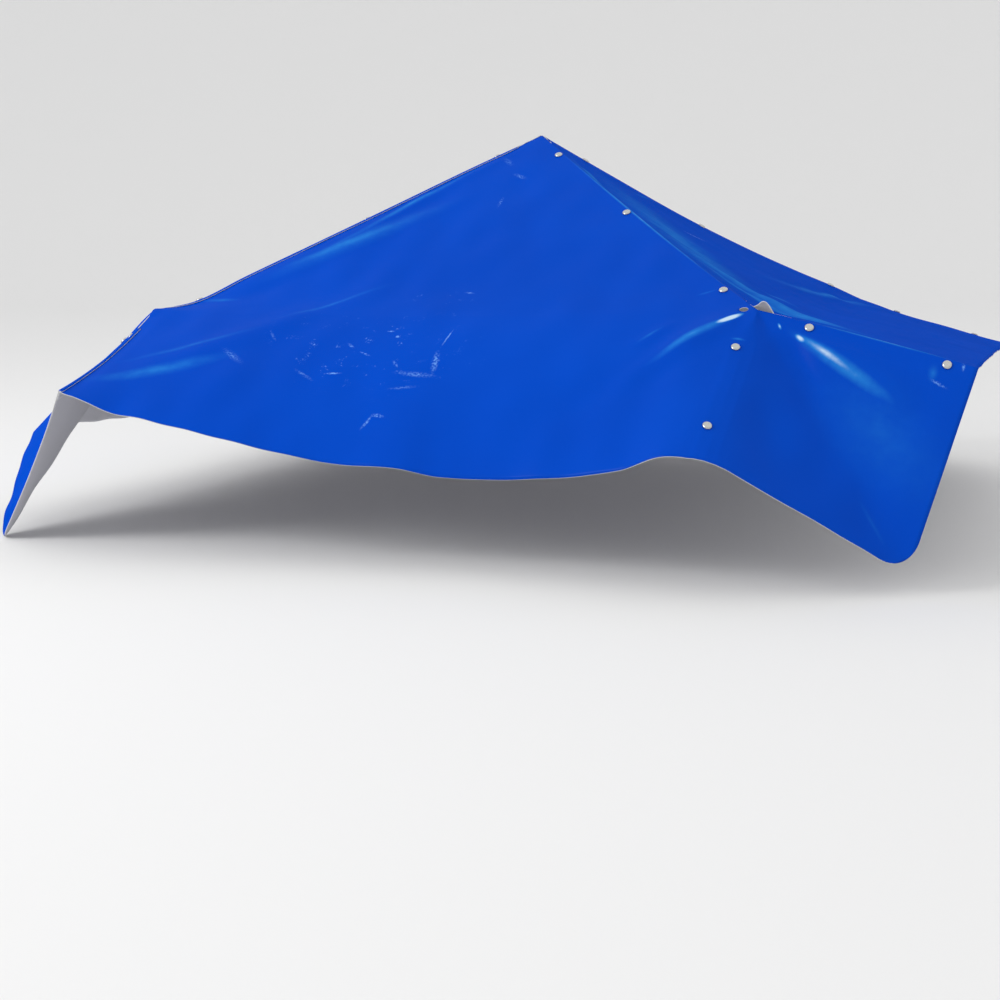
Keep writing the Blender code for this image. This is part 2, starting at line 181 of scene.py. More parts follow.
# %% [markdown]
# ## Wrinkles
#
# Coated cloth doesn't fold like cotton: it stays smooth and buckles in long soft
# ridges that run out from where it is held. Each ridge is one row of a table,
# from one point of the sheet to another, with its height and width in metres.
# That is quicker to tune than a simulation, and puts each highlight where it
# belongs. A ridge on a panel is placed along and down from the middle of its
# eave, and a ridge on a gusset in shares of its square.

# %% Ridges and troughs
Ridge = namedtuple("Ridge", "sheet start end height width")
PANEL_RIDGES = (
    Ridge("front", (0.535, 0.004), (0.37, 0.175), 0.012, 0.026),
    Ridge("front", (0.48, 0.075), (0.25, 0.25), -0.006, 0.035),
    Ridge("front", (-0.52, 0.27), (-0.13, -0.10), 0.006, 0.035),
    Ridge("front", (0.09, 0.34), (0.05, 0.10), -0.004, 0.030),
    Ridge("front", (-0.40, -0.11), (-0.08, -0.40), 0.004, 0.022),
    Ridge("front", (-0.29, -0.23), (-0.07, -0.53), 0.003, 0.016),
    Ridge("front", (0.37, 0.09), (0.42, 0.03), 0.003, 0.012),
    Ridge("right", (-0.51, -0.02), (-0.10, 0.02), 0.006, 0.040),
    Ridge("right", (-0.25, -0.30), (-0.50, 0.15), 0.005, 0.022),
    Ridge("right", (-0.05, -0.14), (0.47, 0.08), 0.005, 0.030),
    Ridge("back", (-0.25, 0.32), (-0.19, 0.02), -0.006, 0.050),
    Ridge("back", (0.50, 0.02), (0.28, 0.20), 0.006, 0.030),
    Ridge("back", (-0.48, 0.03), (-0.18, -0.14), 0.005, 0.035),
    Ridge("left", (0.07, 0.32), (0.03, 0.02), -0.006, 0.050),
    Ridge("left", (0.50, 0.02), (0.30, 0.19), 0.006, 0.030),
    Ridge("left", (-0.46, 0.05), (-0.12, -0.16), 0.005, 0.035),
    Ridge("left", (-0.33, -0.20), (-0.08, -0.48), 0.003, 0.018),
)
GUSSET_RIDGES = (
    Ridge("front_right", (0.05, 0.12), (0.24, 0.78), 0.013, 0.09),
    Ridge("front_right", (0.50, 0.15), (0.95, 0.40), -0.006, 0.14),
    Ridge("front_right", (0.08, 0.15), (0.30, 0.38), -0.005, 0.03),
    Ridge("back_left", (0.15, 0.40), (0.40, 0.90), 0.010, 0.12),
)
CRUMPLE = 0.00035       # height of the small unevenness all over the cloth
Wave = namedtuple("Wave", "pitch turn phase")
CRUMPLE_PITCH = (0.05, 0.16)    # shortest and longest wave of it, in metres
chance = np.random.default_rng(5)
CRUMPLE_WAVES = [Wave(chance.uniform(*CRUMPLE_PITCH), chance.uniform(0, math.pi), chance.uniform(0, math.tau))
                 for n in range(12)]
print(len(PANEL_RIDGES) + len(GUSSET_RIDGES), "ridges and troughs")

# %% [markdown]
# ## The surface as a function
#
# Every vertex of a panel is a place on a smooth surface, read from two numbers:
# how far along its row it lies, and its level, from 0 at the apex over 1 at the
# eave to 2 at the hem. Numpy works the whole sheet out at once, so a fine grid
# costs no more thought than a coarse one.

# %% Curves and frames
def curve_through(places, values, at):
    """The smooth curve through the given points, read at an array of places."""
    x, y = np.array(places, float), np.array(values, float)
    before = np.maximum(np.arange(len(x)) - 1, 0)
    after = np.minimum(np.arange(len(x)) + 1, len(x) - 1)
    slope = (y[after] - y[before]) / (x[after] - x[before])
    i = np.clip(np.searchsorted(x, at) - 1, 0, len(x) - 2)
    step = x[i + 1] - x[i]
    t = np.clip((at - x[i]) / step, 0, 1)
    bend = t * (1 - t) * step * ((1 - t) * slope[i] - t * slope[i + 1])
    return y[i] + (y[i + 1] - y[i]) * t * t * (3 - 2 * t) + bend


def smooth(value, low, high):
    """0 below low, 1 above high, and a soft step between them."""
    t = np.clip((value - low) / (high - low), 0, 1)
    return t * t * (3 - 2 * t)


def points(x, y, z):
    return np.stack(np.broadcast_arrays(x, y, z), axis=-1).astype(float)


def turned(side, along, out, height):
    """Points given along a side and out from the axis, in the cover's frame."""
    c, s = ((1, 0), (0, 1), (-1, 0), (0, -1))[side % 4]
    return points(c * along + s * out, s * along - c * out, height)


def corner_tip(corner):
    return turned(corner, TIP_OUT, TIP_OUT, HIPS[CORNERS[corner % 4]].tip_lift - RISE)


def hip_line(corner, share):
    """Points on the hip above a corner tip, from the apex (0) to the tip (1)."""
    sags = (0, *HIPS[CORNERS[corner % 4]][1:], 0)
    sag = curve_through((0, *HIP_SAG_SHARES, 1), sags, share)
    return corner_tip(corner) * share[..., None] - points(0, 0, sag)


def normals(place, u, v, du, dv):
    """Outward normals of place(u, v); the steps du and dv point into the sheet."""
    here = place(u, v)
    across = (place(u + du, v) - here) * np.sign(du)[..., None]
    down = (place(u, v + dv) - here) * np.sign(dv)[..., None]
    normal = np.cross(down, across)
    return normal / np.linalg.norm(normal, axis=-1, keepdims=True)


print("front right corner tip at", corner_tip(0))

# %% [markdown]
# A roof panel hangs between its two hips with a little slack, and its flap bends
# down at the eave and curls on towards the hem. Both are straight formulas at
# first. A crease in coated cloth is never sharp, so the eave is then softened by
# an average over a short run of the cloth, up and down from each point.

# %% Roof and flap
def row_width(level):
    return 2 * TIP_OUT * np.minimum(level, 1.0)


def creased_panel(side, along, level):
    """A panel bent sharply at its eave, without its ridges."""
    roof = np.minimum(level, 1.0)
    share = along / row_width(level)
    left, right = hip_line(side - 1, roof), hip_line(side, roof)
    point = left + (right - left) * share[..., None]
    point[..., 2] -= ROOF_SLACK * 4 * share * (1 - share) * roof ** 2
    down = np.maximum(level - 1, 0)
    rows = STATIONS[SIDES[side % 4]]
    shares = [row.share for row in rows]
    eave, hem, depth, drift = (
        curve_through(shares, [row[n] for row in rows], share) for n in range(1, 5))
    first, turn = np.radians(eave), np.radians(hem - eave)
    turn = np.where(np.abs(turn) < 1e-6, 1e-6, turn)
    out = depth * (np.sin(first + turn * down) - np.sin(first)) / turn
    drop = depth * (np.cos(first) - np.cos(first + turn * down)) / turn
    return point + turned(side, drift * down, out, -drop)


print("roof panel, half way down:", row_width(0.5), "m wide")

# %% Soften the eave
def on_cut(along, level):
    """Where a point of a panel lies on the flat cut: along and down from mid eave."""
    return along - row_width(level) / 2, (level - 1) * np.where(level > 1, FLAP, SLANT)


def flat_panel(side, along, level):
    """A panel as it hangs: an average over a short run softens the eave's bend."""
    x, down = on_cut(along, level)
    inset = np.minimum(along, row_width(level) - along)
    reach = EAVE_SOFT * smooth(inset, STEP_FAR, 5 * STEP_FAR)
    reach = np.clip(np.minimum(SLANT + down - 0.03, FLAP - down), 0, reach)
    point = 0
    for offset, share in zip((-1, -0.5, 0, 0.5, 1), (1, 4, 6, 4, 1)):
        near = down + offset * reach
        near = 1 + near / np.where(near > 0, FLAP, SLANT)
        point = point + creased_panel(side, x + row_width(near) / 2, near) * share / 16
    return point


def panel_normals(side, along, level):
    du = np.where(along < row_width(level) / 2, 0.002, -0.002) * np.minimum(level, 1.0)
    dv = np.where((level > 1.5) | ((level > 0.5) & (level <= 1)), -0.004, 0.004)
    return normals(lambda u, v: flat_panel(side, u, v), along, level, du, dv)


print("front hem, mid width:", flat_panel(0, np.array([0.55]), np.array([2.0]))[0].round(3))

# %% [markdown]
# The ridges of the table now lift the sheet along its normals, and a fine sum of
# waves keeps the wide plain parts from looking like sheet metal.

# %% Ridges on a panel
def ridge_height(ridge, x, y):
    """Height of a soft ridge at (x, y): round across, faded out at both ends."""
    (x0, y0), (x1, y1) = ridge.start, ridge.end
    run_x, run_y = x1 - x0, y1 - y0
    share = ((x - x0) * run_x + (y - y0) * run_y) / (run_x ** 2 + run_y ** 2)
    held = np.clip(share, 0, 1)
    away = np.hypot(x - x0 - held * run_x, y - y0 - held * run_y) / ridge.width
    fade = np.sin(math.pi * np.clip(share * 0.8 + 0.1, 0, 1))
    return ridge.height * fade * np.exp(-away ** 2)


def crumple(x, y):
    """Small even unevenness: a sum of waves in all directions."""
    return CRUMPLE * sum(np.sin((x * math.cos(w.turn) + y * math.sin(w.turn)) / w.pitch * math.tau + w.phase)
                         for w in CRUMPLE_WAVES)


def panel(side, along, level):
    """A panel's outer face, as it hangs, with its ridges."""
    x, y = on_cut(along, level)
    inside = np.clip(np.minimum(along, row_width(level) - along) / STEP_FAR, 0, 1)
    raised = crumple(x + side, y) + sum(ridge_height(ridge, x, y)
                 for ridge in PANEL_RIDGES if ridge.sheet == SIDES[side % 4])
    point = soften_fold(side, x, y, flat_panel(side, along, level))
    return point + (raised * inside)[..., None] * panel_normals(side, along, level)


print("tallest ridge:", max(ridge.height for ridge in PANEL_RIDGES), "m")

# %% [markdown]
# ## Gussets
#
# A gusset is a square of cloth hung from two edges that aren't at right angles
# any more, so it has to fold in along its diagonal from the corner tip. Coordinates
# that slide along that fold give it with no stretch: most of the square is two
# flat leaves, and the fold's softness is one number.

# %% Gussets
def flat_gusset(corner, down, along):
    """A gusset without its ridges: shares down its fold line and along its seam."""
    tip = corner_tip(corner)
    row = GUSSETS[CORNERS[corner % 4]]
    outer = turned(corner, TIP_OUT + row.next_out, TIP_OUT + row.own_out, tip[2] - row.drop)
    spread = np.sqrt((down - along) ** 2 + 4 * row.softness * down * along * (1 - down * along))
    on_fold = (spread + down - along) / 2
    on_seam = (spread - down + along) / 2
    on_crease = (down + along - spread) / 2
    fold_line = flat_panel(corner, row_width(1) + 0 * on_fold, 1 + on_fold)
    seam_line = flat_panel(corner + 1, 0 * on_seam, 1 + on_seam)
    return fold_line + seam_line - tip + (outer - tip) * on_crease[..., None]


def soften_fold(side, x, y, point):
    """Round the fold between flap and gusset by an average across it."""
    reach = FOLD_SOFT * smooth(y, 0.01, 0.10)
    near = np.abs(x - TIP_OUT) < reach
    if not near.any():
        return point
    level, softened = 1 + y[near] / FLAP, 0
    for offset, share in zip((-1, -0.5, 0, 0.5, 1), (1, 2, 2, 2, 1)):
        at = x[near] + offset * reach[near]
        flap = flat_panel(side, np.minimum(at, TIP_OUT) + TIP_OUT, level)
        leaf = flat_gusset(side, level - 1, np.maximum(at - TIP_OUT, 0) / FLAP)
        softened = softened + np.where((at > TIP_OUT)[..., None], leaf, flap) * share / 8
    point = point.copy()
    point[near] = softened
    return point


def rounded(down, along):
    """Pull the far corner of the square gusset back onto its rounding."""
    past_down, past_along = down - 1 + CORNER_ROUND, along - 1 + CORNER_ROUND
    past = np.hypot(past_down, past_along)
    outside = (past_down > 0) & (past_along > 0) & (past > CORNER_ROUND)
    pull = np.where(outside, CORNER_ROUND / np.maximum(past, 1e-9), 1)
    return (np.where(outside, past_down * pull + 1 - CORNER_ROUND, down),
            np.where(outside, past_along * pull + 1 - CORNER_ROUND, along))


def gusset_normals(corner, down, along):
    du, dv = (np.where(value < 0.5, 0.01, -0.01) for value in (along, down))
    return normals(lambda u, v: flat_gusset(corner, v, u), along, down, du, dv)


def gusset(corner, down, along):
    """A gusset's outer face, with its ridges."""
    down, along = rounded(down, along)
    edge = np.minimum(1, np.minimum(down, along) / 0.1)
    x, y = TIP_OUT + along * FLAP, down * FLAP
    raised = crumple(x + corner, y) + sum(
        ridge_height(ridge, down, along)
        for ridge in GUSSET_RIDGES if ridge.sheet == CORNERS[corner % 4])
    point = soften_fold(corner, x, y, flat_gusset(corner, down, along))
    return point + (raised * edge)[..., None] * gusset_normals(corner, down, along)


print("front right gusset corner:", gusset(0, np.array([0.95]), np.array([0.95]))[0].round(3))

# %% [markdown]
# ## Laps and mouths
#
# Along a hip one panel lies on top, and its neighbour dives under it and carries
# a margin below. Near a corner tip the lap is left open, and there the free edge
# of the lower panel arches up into a small mouth, because the cloth is pulled
# tight over the tip. Each of these is the same surface, lowered by one thickness
# of cloth or lifted a little, so the plies never cross.

# %% Lap functions
MOUTH_LEVEL = 1.03      # where the open edge stands highest
MOUTH_SPAN = 0.046      # and how far the arch reaches to both sides


def lap_scale(level):
    return np.minimum(1.0, row_width(level) / FULL_LAP_WIDTH)


def lapped(level):
    """1 where a panel's left edge lies under its neighbour, 0 where it is free."""
    hip = smooth(level, HIP_LAP[0] - APEX_FADE, HIP_LAP[0]) * (1 - smooth(level, HIP_LAP[1], HIP_OPEN))
    return np.where(level > 1, smooth(level - 1, SEAM_LAP[0] - SEAM_FADE, SEAM_LAP[0]), hip)


def ridge_line_normals(corner, level):
    """Outward normals of the top panel and of its neighbour where they meet."""
    seam = gusset_normals(corner, np.zeros_like(level), np.clip(level - 1, 0, 1))
    hip = panel_normals(corner, row_width(level), level)
    top = np.where((level > 1)[..., None], seam, hip)
    return top, panel_normals(corner + 1, np.zeros_like(level), level)


def lowered(point, normal, share=1.0):
    """Points of the lower ply, under points of the top one."""
    return point - normal * ((CLOTH + PLY_GAP) * np.asarray(share))[..., None]


def bump(value, middle, span):
    return 0.5 + 0.5 * np.cos(math.pi * np.clip((value - middle) / span, -1, 1))


def mouth_lift(side, along, level):
    """How far a panel's free left edge arches up beside its corner tip."""
    height = GUSSETS[CORNERS[(side - 1) % 4]].mouth
    arch = bump(level, MOUTH_LEVEL, MOUTH_SPAN)
    return points(0, 0, height * arch ** 0.5 * (1 - smooth(along, 0, STEP_FAR)))


def left_edge(side, level):
    """A panel's left edge: under the hip, or free beside its corner tip."""
    at = lapped(level)
    top, under = ridge_line_normals(side - 1, level)
    mitre = (top + under) / (1 + (top * under).sum(-1, keepdims=True))
    gap = np.minimum(EDGE_GAP, 0.8 * STEP_NEAR * lap_scale(level))
    free = panel(side, gap * (1 - at), level) + mouth_lift(side, gap, level)
    return lowered(free, mitre, at)


print("mouth by the front right tip:", GUSSETS["front_right"].mouth, "m high")

# %% [markdown]
# ## One panel as a mesh
#
# A panel is one sheet, and six grids make it: roof with flap, the gusset, two
# narrow margins under the neighbour and two narrow edges over it. Each grid
# comes from `create_grid`, its vertices are moved onto the surface, and the
# shared edges are merged. A vertex also keeps its place on the flat cut, so that
# grain, scuffs, dust and the painted highlights follow the cloth and not the room.

# %% Grid lines
GRID = 0.0075           # spacing of the grid, in metres
FINE = 0.0024           # and beside the mouths


def refined(knots, step):
    """The knots, with evenly spaced places between them at most a step apart."""
    places = []
    for low, high in zip(knots, knots[1:]):
        count = max(1, math.ceil((high - low) / step))
        places += [low + (high - low) * n / count for n in range(count)]
    return np.array([*places, knots[-1]])


roof_rows = np.concatenate((
    refined((APEX_SHARE, HIP_LAP[0], HIP_LAP[1]), GRID / SLANT)[:-1],
    refined((HIP_LAP[1], 1.0), FINE / SLANT)))
fine_end = MOUTH_LEVEL - 1 + MOUTH_SPAN + 0.02     # of the flap, just past the mouth
flap_rows = np.concatenate((
    refined((0, fine_end), FINE / FLAP)[:-1],
    refined((fine_end, SEAM_LAP[0], 1), GRID / FLAP)))

# The grid's columns: knots of a row's width, and the grid columns between them
NEAR_COLUMNS, STEP_COLUMNS, RIGHT_COLUMNS = 4, 4, 10
MIDDLE_COLUMNS = math.ceil(2 * TIP_OUT / GRID)
column_knots = np.cumsum((0, NEAR_COLUMNS, STEP_COLUMNS, MIDDLE_COLUMNS, RIGHT_COLUMNS))
columns = np.arange(column_knots[-1] + 1)


def column_place(column, level):
    """How far along its row a grid column lies."""
    width, scale = row_width(level), lap_scale(level)
    near, far, under = STEP_NEAR * scale, STEP_FAR * scale, UNDER_LAP * scale
    spans = (near, far - near, width - under - far, under)
    along = 0
    for span, low, high in zip(spans, column_knots, column_knots[1:]):
        along = along + span * np.clip((column - low) / (high - low), 0, 1)
    return along


print(len(roof_rows) + len(flap_rows), "rows and", len(columns), "columns")

# %% [markdown]
# The six grids differ only in the function that places their vertices. Columns
# bunch up at a panel's left edge, where it steps down under its neighbour, so the
# step is crisp and the rest of the sheet stays light.

# %% Grids of a panel
def main_sheet(side, column, level):
    """Roof and flap, with the left edge stepped down under the neighbour."""
    along = column_place(column, level)
    scale = lap_scale(level)
    at = lapped(level) * (1 - smooth(along, STEP_NEAR * scale, STEP_FAR * scale))
    point = lowered(panel(side, along, level), panel_normals(side, along, level), at)
    point = point + mouth_lift(side, along, level)
    return np.where((column == 0)[..., None], left_edge(side, level), point)


def hip_margin(side, column, level):
    """The lower ply's margin, which lies under the neighbour's roof."""
    along = row_width(level) - (1 - column) * UNDER_LAP * lap_scale(level)
    owner = side - 1
    point = lowered(panel(owner, along, level), panel_normals(owner, along, level))
    return np.where((column == 1)[..., None], left_edge(side, level), point)


def seam_margin(side, row, share):
    """The lower ply's margin, which lies under the neighbour's gusset."""
    down = row * SEAM_LAP_SHARE
    point = lowered(gusset(side - 1, down, share), gusset_normals(side - 1, down, share))
    return np.where((row == 0)[..., None], left_edge(side, 1 + share), point)


def hip_edge(side, column, level):
    """The top ply's edge past the hip, lying on the neighbour's roof."""
    own = panel(side, row_width(level), level)
    over = panel(side + 1, column * OVER_LAP * lap_scale(level), level)
    return np.where((column == 0)[..., None], own, over)


def seam_edge(side, column, share):
    """The gusset's edge past its seam, lying on the neighbour's flap."""
    own = gusset(side, np.zeros_like(share), share)
    over = panel(side + 1, column * OVER_LAP, 1 + share)
    return np.where((column == 0)[..., None], own, over)


def add_grid(mesh, across, down, place, cut):
    """A grid whose vertices go to place(u, v) and remember their cut(u, v)."""
    spans, rows = len(across) - 1, len(down) - 1
    made = bmesh.ops.create_grid(mesh, x_segments=spans, y_segments=rows, size=1)
    at = np.array([vertex.co for vertex in made["verts"]])
    u = across[np.rint((at[:, 0] + 1) / 2 * spans).astype(int)]
    v = down[np.rint((1 - at[:, 1]) / 2 * rows).astype(int)]
    layer = mesh.verts.layers.float_vector["cut"]
    for vertex, point, flat in zip(made["verts"], place(u, v), cut(u, v)):
        vertex.co = point
        vertex[layer] = flat


print("six grids make a panel")

# %% [markdown]
# The front panel has a small round hole beside its right corner tip. The grid's
# faces inside it are deleted, and the ragged rim is then moved onto the circle,
# which leaves a clean edge without a Boolean.

# %% The hole by the tip
HOLE_AT = (0.528, -0.001)   # on the front panel's cut
HOLE_RADIUS = 0.007
RIM_REACH = 1.6             # of the hole's radius, where its rim is looked for


def open_hole(mesh):
    """Cut the hole, and draw the vertices of its rim onto a circle."""
    layer = mesh.verts.layers.float_vector["cut"]
    middle = Vector((*HOLE_AT, 0))

    def away(verts):
        return sum(((vertex[layer] - middle) for vertex in verts), Vector()) / len(verts)

    inside = [face for face in mesh.faces if away(face.verts).length < HOLE_RADIUS]
    bmesh.ops.delete(mesh, geom=inside, context="FACES")
    rim = [vertex for vertex in mesh.verts
           if vertex.is_boundary and away([vertex]).length < RIM_REACH * HOLE_RADIUS]
    for vertex in rim:
        flat = middle + away([vertex]).normalized() * HOLE_RADIUS
        level = 1 + flat.y / (FLAP if flat.y > 0 else SLANT)
        along = flat.x + row_width(level) / 2
        vertex.co = panel(0, np.array([along]), np.array([level]))[0]
        vertex[layer] = flat
    print("hole with", len(rim), "points on its rim")


# %% [markdown]
# The six grids of a panel are laid out together, and the vertices that they share
# are merged while the sheet is still one open surface. So its wall can be given
# an even thickness later.

# %% A whole panel
TAUT = 0.00001          # vertices closer than this are one
ROUNDING = 1e-6         # so that the rows at the limits themselves count
MARGIN_LINES, EDGE_LINES = 5, 3     # grid lines across a margin and an edge


def strip_rows(rows, limits):
    """The rows between two limits."""
    return rows[(rows >= limits[0] - ROUNDING) & (rows <= limits[1] + ROUNDING)]


def panel_sheet(side):
    """A panel's outer face as one open sheet."""
    mesh = bmesh.new()
    mesh.verts.layers.float_vector.new("cut")
    half = row_width(1) / 2

    def cut_of(along, level):
        return points(*on_cut(along, level), side)

    add_grid(mesh, columns.astype(float), np.concatenate((roof_rows, 1 + flap_rows[1:])),
             lambda u, v: main_sheet(side, u, v), lambda u, v: cut_of(column_place(u, v), v))
    add_grid(mesh, flap_rows, flap_rows, lambda u, v: gusset(side, v, u),
             lambda u, v: points(half + u * FLAP, v * FLAP, side))
    hip_rows, lap_rows = strip_rows(roof_rows, HIP_LAP), strip_rows(flap_rows, SEAM_LAP)
    margin, edge = np.linspace(0, 1, MARGIN_LINES), np.linspace(0, 1, EDGE_LINES)
    add_grid(mesh, margin, hip_rows, lambda u, v: hip_margin(side, u, v),
             lambda u, v: cut_of((u - 1) * UNDER_LAP, v))
    add_grid(mesh, lap_rows, margin, lambda u, v: seam_margin(side, v, u),
             lambda u, v: points(-half - v * UNDER_LAP, u * FLAP, side))
    add_grid(mesh, edge, hip_rows, lambda u, v: hip_edge(side, u, v),
             lambda u, v: cut_of(row_width(v) + u * OVER_LAP, v))
    add_grid(mesh, edge, lap_rows, lambda u, v: seam_edge(side, u, v),
             lambda u, v: points(half + v * FLAP, -u * OVER_LAP, side))
    bmesh.ops.remove_doubles(mesh, verts=mesh.verts, dist=TAUT)
    return mesh


sheets = [panel_sheet(side) for side in range(4)]
open_hole(sheets[0])
print("vertices in each panel:", [len(sheet.verts) for sheet in sheets])

# %% [markdown]
# ## Materials as formulas
#
# A shader is easier to read as arithmetic than as a web of nodes. `Link` wraps a
# socket so that sums on it add Math nodes, and `Paint.add` makes any other node.

# %% Node helpers
class Link:
    """An output socket that can be used in sums."""

    def __init__(self, paint, socket):
        self.paint, self.socket = paint, socket

    def maths(self, operation, *values):
        return self.paint.add("ShaderNodeMath", {"operation": operation}, enumerate(values))

    def __add__(self, other):
        return self.maths("ADD", self, other)

    def __sub__(self, other):
        return self.maths("SUBTRACT", self, other)

    def __rsub__(self, other):
        return self.maths("SUBTRACT", other, self)

    def __mul__(self, other):
        return self.maths("MULTIPLY", self, other)

    __radd__, __rmul__ = __add__, __mul__


class Paint:
    """A material under construction."""

    def __init__(self, name):
        self.material = bpy.data.materials.new(name)
        self.material.use_nodes = True
        self.nodes = self.material.node_tree.nodes
        self.shader = self.nodes["Principled BSDF"]

    def plug(self, sockets, key, value):
        if isinstance(value, Link):
            self.material.node_tree.links.new(value.socket, sockets[key])
        else:
            sockets[key].default_value = value

    def add(self, kind, settings=None, inputs=(), output=0):
        """Any node: its type, its settings, then the values or links of its sockets."""
        node = self.nodes.new(kind)
        for name, value in (settings or {}).items():
            setattr(node, name, value)
        for key, value in dict(inputs).items():
            self.plug(node.inputs, key, value)
        return Link(self, node.outputs[output])

    def finish(self, **inputs):
        """Set the shader's own sockets; a name's underscores stand for spaces."""
        for name, value in inputs.items():
            self.plug(self.shader.inputs, name.replace("_", " "), value)
        return self.material

    def noise(self, vector, scale, detail=2.0, roughness=0.5):
        values = {"Vector": vector, "Scale": scale, "Detail": detail, "Roughness": roughness}
        return self.add("ShaderNodeTexNoise", None, values)

    def ramp(self, value, low, high):
        """0 below low, 1 above high, with a soft step."""
        settings = {"interpolation_type": "SMOOTHSTEP"}
        return self.add("ShaderNodeMapRange", settings, {0: value, 1: low, 2: high})

    def blend(self, share, first, second):
        """A colour between two, by share."""
        settings = {"data_type": "RGBA"}
        return self.add("ShaderNodeMix", settings, {0: share, 6: first, 7: second}, 2)


print("node helpers ready")

# %% [markdown]
# ## Coated cloth
#
# PVC-coated tarpaulin is a woven scrim between two skins. Outside it is a deep
# glossy blue that scuffs whitish where it rubs, and underneath a plain grey. Its
# glints and the sheen along its wrinkles are painted into the colour as a pale
# haze, with some real dust on the front's left half. Wear and these painted
# highlights could be painted on an image. Here each mark is a soft ellipse on the
# flat cut, one row of a table with its two ends, its width and its strength, and
# noise breaks up its edge.

# %% Marks of wear and painted highlights
Mark = namedtuple("Mark", "sheet start end width strength")
# Painted highlights and sheen: glints by the front right tip, on its gusset and above a stud, light lines
# along hips and seams, the sky's sheen on the gusset and beside the right hip; on the front's left half also
# dust.
SHEEN_AND_DUST_MARKS = (
    Mark("front", (-0.55, 0.290), (-0.31, 0.140), 0.024, 0.50),
    Mark("front", (-0.54, 0.215), (-0.28, 0.050), 0.012, 0.35),
    Mark("front", (-0.30, 0.040), (-0.11, -0.125), 0.010, 0.35),
    Mark("front", (-0.40, -0.12), (-0.09, -0.395), 0.034, 0.42),
    Mark("front", (-0.29, -0.24), (-0.07, -0.54), 0.012, 0.55),
    Mark("front", (-0.36, -0.17), (-0.20, -0.30), 0.014, 0.25),
    Mark("front", (-0.49, -0.067), (-0.405, -0.064), 0.010, 0.45),
    Mark("front", (0.37, 0.085), (0.41, 0.04), 0.006, 0.35),
    Mark("front", (0.44, -0.055), (0.47, -0.067), 0.005, 0.35),
    Mark("front", (0.405, 0.137), (0.53, 0.012), 0.013, 0.70),
    Mark("front", (0.498, 0.043), (0.527, 0.014), 0.007, 3.20),
    Mark("front", (0.525, 0.074), (0.548, 0.074), 0.004, 0.60),
    Mark("front", (0.590, 0.016), (0.596, 0.024), 0.003, 1.50),
    Mark("front", (0.03, -0.60), (0.52, -0.035), 0.004, 0.80),
    Mark("front", (0.61, 0.024), (0.79, 0.093), 0.015, 0.85),
    Mark("front", (0.628, 0.029), (0.715, 0.063), 0.007, 0.90),
    Mark("front", (0.625, 0.030), (0.635, 0.036), 0.005, 2.00),
    Mark("front", (0.62, -0.003), (0.885, -0.003), 0.006, 1.10),
    Mark("front", (0.72, 0.10), (0.87, 0.20), 0.100, 0.25),
    Mark("front", (0.79, 0.26), (0.86, 0.33), 0.006, 0.25),
    Mark("front", (0.837, 0.02), (0.84, 0.04), 0.010, 0.45),
    Mark("right", (-0.02, -0.46), (-0.42, -0.03), 0.110, 0.50),
    Mark("right", (-0.43, -0.01), (-0.51, 0.16), 0.050, 0.60),
    Mark("right", (-0.30, -0.22), (-0.47, 0.08), 0.020, 0.35),
    Mark("right", (-0.21, -0.09), (-0.335, 0.03), 0.012, 0.45),
    Mark("right", (-0.06, -0.135), (0.50, 0.09), 0.020, 0.50),
    Mark("right", (0.04, -0.445), (0.19, -0.415), 0.012, 0.30),
    Mark("right", (-0.03, -0.56), (-0.23, -0.37), 0.009, 0.60),
    Mark("right", (-0.365, -0.16), (-0.49, 0.06), 0.010, 0.40),
    Mark("back", (0.30, 0.18), (0.49, 0.03), 0.010, 0.45),
    Mark("back", (-0.46, 0.02), (-0.22, -0.12), 0.012, 0.35),
    Mark("left", (0.33, 0.16), (0.49, 0.03), 0.010, 0.45),
    Mark("left", (-0.44, 0.04), (-0.15, -0.14), 0.013, 0.35),
)
SCUFFS = (
    Mark("front", (-0.34, 0.135), (-0.29, 0.17), 0.010, 0.6),
    Mark("front", (-0.28, 0.07), (-0.26, 0.095), 0.004, 0.6),
    Mark("front", (-0.197, 0.165), (-0.15, 0.19), 0.005, 0.6),
    Mark("front", (-0.14, 0.17), (-0.11, 0.165), 0.003, 1.3),
    Mark("front", (-0.098, 0.108), (-0.076, 0.118), 0.003, 1.0),
    Mark("front", (-0.07, 0.048), (-0.058, 0.048), 0.003, 1.1),
    Mark("front", (-0.047, 0.063), (-0.045, 0.063), 0.005, 1.5),
    Mark("front", (0.047, 0.038), (0.040, 0.090), 0.002, 1.6),
    Mark("front", (0.038, 0.100), (0.045, 0.150), 0.008, 1.0),
    Mark("front", (-0.02, 0.155), (0.054, 0.158), 0.008, 0.8),
    Mark("front", (-0.023, 0.194), (0.034, 0.182), 0.005, 0.6),
    Mark("front", (-0.032, 0.127), (-0.019, 0.143), 0.004, 0.9),
    Mark("front", (-0.129, 0.086), (-0.113, 0.099), 0.004, 0.9),
    Mark("front", (0.026, -0.084), (0.043, -0.080), 0.004, 0.9),
    Mark("front", (-0.04, 0.280), (-0.028, 0.248), 0.004, 1.1),
    Mark("front", (-0.028, 0.248), (-0.010, 0.251), 0.005, 1.1),
    Mark("front", (-0.05, -0.55), (-0.026, -0.52), 0.009, 0.5),
    Mark("front", (-0.011, -0.486), (0.018, -0.469), 0.007, 0.7),
    Mark("front", (-0.005, -0.36), (-0.006, -0.406), 0.004, 0.8),
    Mark("front", (0.837, 0.041), (0.866, 0.049), 0.004, 0.9),
    Mark("front", (0.877, 0.000), (0.880, 0.012), 0.004, 0.9),
    Mark("right", (-0.025, -0.30), (0.005, -0.25), 0.008, 0.7),
)
SPECKLED = (
    Mark("front", (-0.20, 0.09), (0.02, 0.09), 0.15, 1.0),
    Mark("front", (-0.05, -0.06), (0.03, -0.05), 0.06, 0.8),
)


